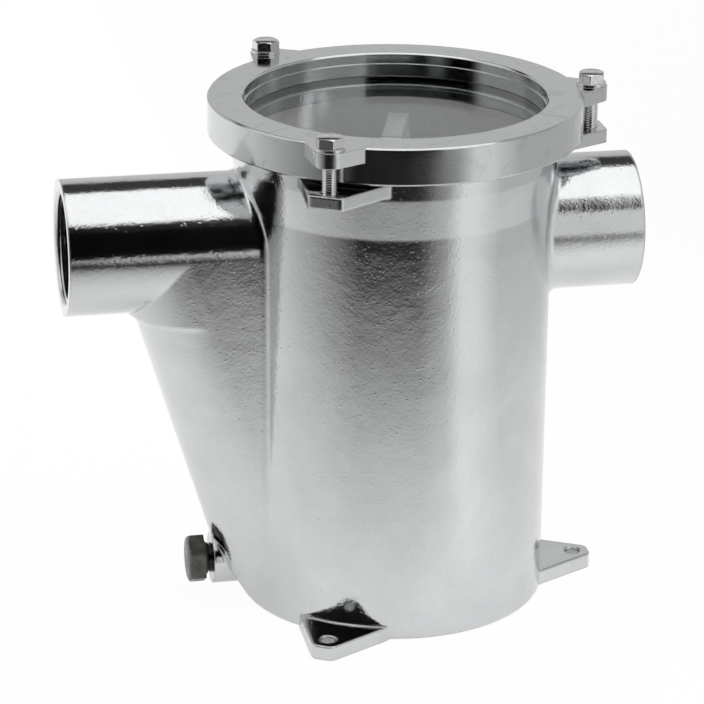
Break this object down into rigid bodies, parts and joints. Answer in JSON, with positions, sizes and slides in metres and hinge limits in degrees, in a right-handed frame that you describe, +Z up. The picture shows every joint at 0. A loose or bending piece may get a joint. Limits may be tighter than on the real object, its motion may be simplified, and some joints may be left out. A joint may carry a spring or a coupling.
{
  "type": "sea water strainer",
  "caption": "Sea water strainer: round cast bowl with two threaded side ports, a slanted side chamber with a drain plug, a lift-out basket and a bolted sight-glass lid.",
  "frame": {"origin": "centre of the bowl's flat base", "axes": "+Z up along the bowl; +X towards the inlet port, -X towards the outlet port and the drain"},
  "size_m": [0.3092, 0.2064, 0.2871],
  "materials": {
    "plated_bronze": "cast bronze with a satin nickel plating, fine cast stipple",
    "clear_lid": "clear plate, polished",
    "gasket_rubber": "flat black gasket sheet",
    "seal_rubber": "black ring, smooth",
    "drain_steel": "dull grey-olive steel",
    "fastener_steel": "bright stainless steel, turned and cold-formed",
    "basket_steel": "stainless sheet, lightly brushed"
  },
  "bodies": {
    "bowl": {"body_casting": "plated_bronze", "lid_gasket": "gasket_rubber"},
    "lid": {"lid_ring": "plated_bronze", "sight_glass": "clear_lid"},
    "washer_1": {"lid_washer_1": "fastener_steel"},
    "bolt_1": {"lid_bolt_1": "fastener_steel"},
    "washer_2": {"lid_washer_2": "fastener_steel"},
    "bolt_2": {"lid_bolt_2": "fastener_steel"},
    "washer_3": {"lid_washer_3": "fastener_steel"},
    "bolt_3": {"lid_bolt_3": "fastener_steel"},
    "seal": {"drain_seal": "seal_rubber"},
    "plug": {"drain_plug": "drain_steel"},
    "basket": {"basket_wall": "basket_steel", "basket_floor": "basket_steel", "basket_rim": "basket_steel", "basket_foot_band": "basket_steel", "basket_handle": "basket_steel", "handle_rivets": "basket_steel"}
  },
  "joints": [
    {"name": "lid_lift", "type": "slide", "parent": "bowl", "child": "lid", "axis": [0, 0, 1], "range_m": [0, 0.48]},
    {"name": "basket_lift", "type": "slide", "parent": "bowl", "child": "basket", "axis": [0, 0, 1], "range_m": [0, 0.24]},
    {"name": "bolt_1_rise", "type": "slide", "parent": "lid", "child": "washer_1", "axis": [0, 0, 1], "range_m": [0, 0.0063]},
    {"name": "bolt_1_turn", "type": "hinge", "parent": "washer_1", "child": "bolt_1", "pos_m": [0.1071, 0, 0.2816], "axis": [0, 0, 1], "range_deg": [0, 1800]},
    {"name": "bolt_2_rise", "type": "slide", "parent": "lid", "child": "washer_2", "axis": [0, 0, 1], "range_m": [0, 0.0063]},
    {"name": "bolt_2_turn", "type": "hinge", "parent": "washer_2", "child": "bolt_2", "pos_m": [-0.05355, 0.09275, 0.2816], "axis": [0, 0, 1], "range_deg": [0, 1800]},
    {"name": "bolt_3_rise", "type": "slide", "parent": "lid", "child": "washer_3", "axis": [0, 0, 1], "range_m": [0, 0.0063]},
    {"name": "bolt_3_turn", "type": "hinge", "parent": "washer_3", "child": "bolt_3", "pos_m": [-0.05355, -0.09275, 0.2816], "axis": [0, 0, 1], "range_deg": [0, 1800]},
    {"name": "plug_travel", "type": "slide", "parent": "bowl", "child": "seal", "axis": [-1, 0, 0], "range_m": [0, 0.0094]},
    {"name": "plug_turn", "type": "hinge", "parent": "seal", "child": "plug", "pos_m": [-0.1048, 0, 0.02], "axis": [-1, 0, 0], "range_deg": [0, 2520]}
  ],
  "couplings": [
    {"joint": "basket_lift", "follows": "lid_lift", "ratio": 0.5},
    {"joint": "bolt_1_rise", "follows": "bolt_1_turn", "m_per_rad": 0.00019894},
    {"joint": "bolt_2_rise", "follows": "bolt_2_turn", "m_per_rad": 0.00019894},
    {"joint": "bolt_3_rise", "follows": "bolt_3_turn", "m_per_rad": 0.00019894},
    {"joint": "plug_travel", "follows": "plug_turn", "m_per_rad": 0.00021279}
  ]
}
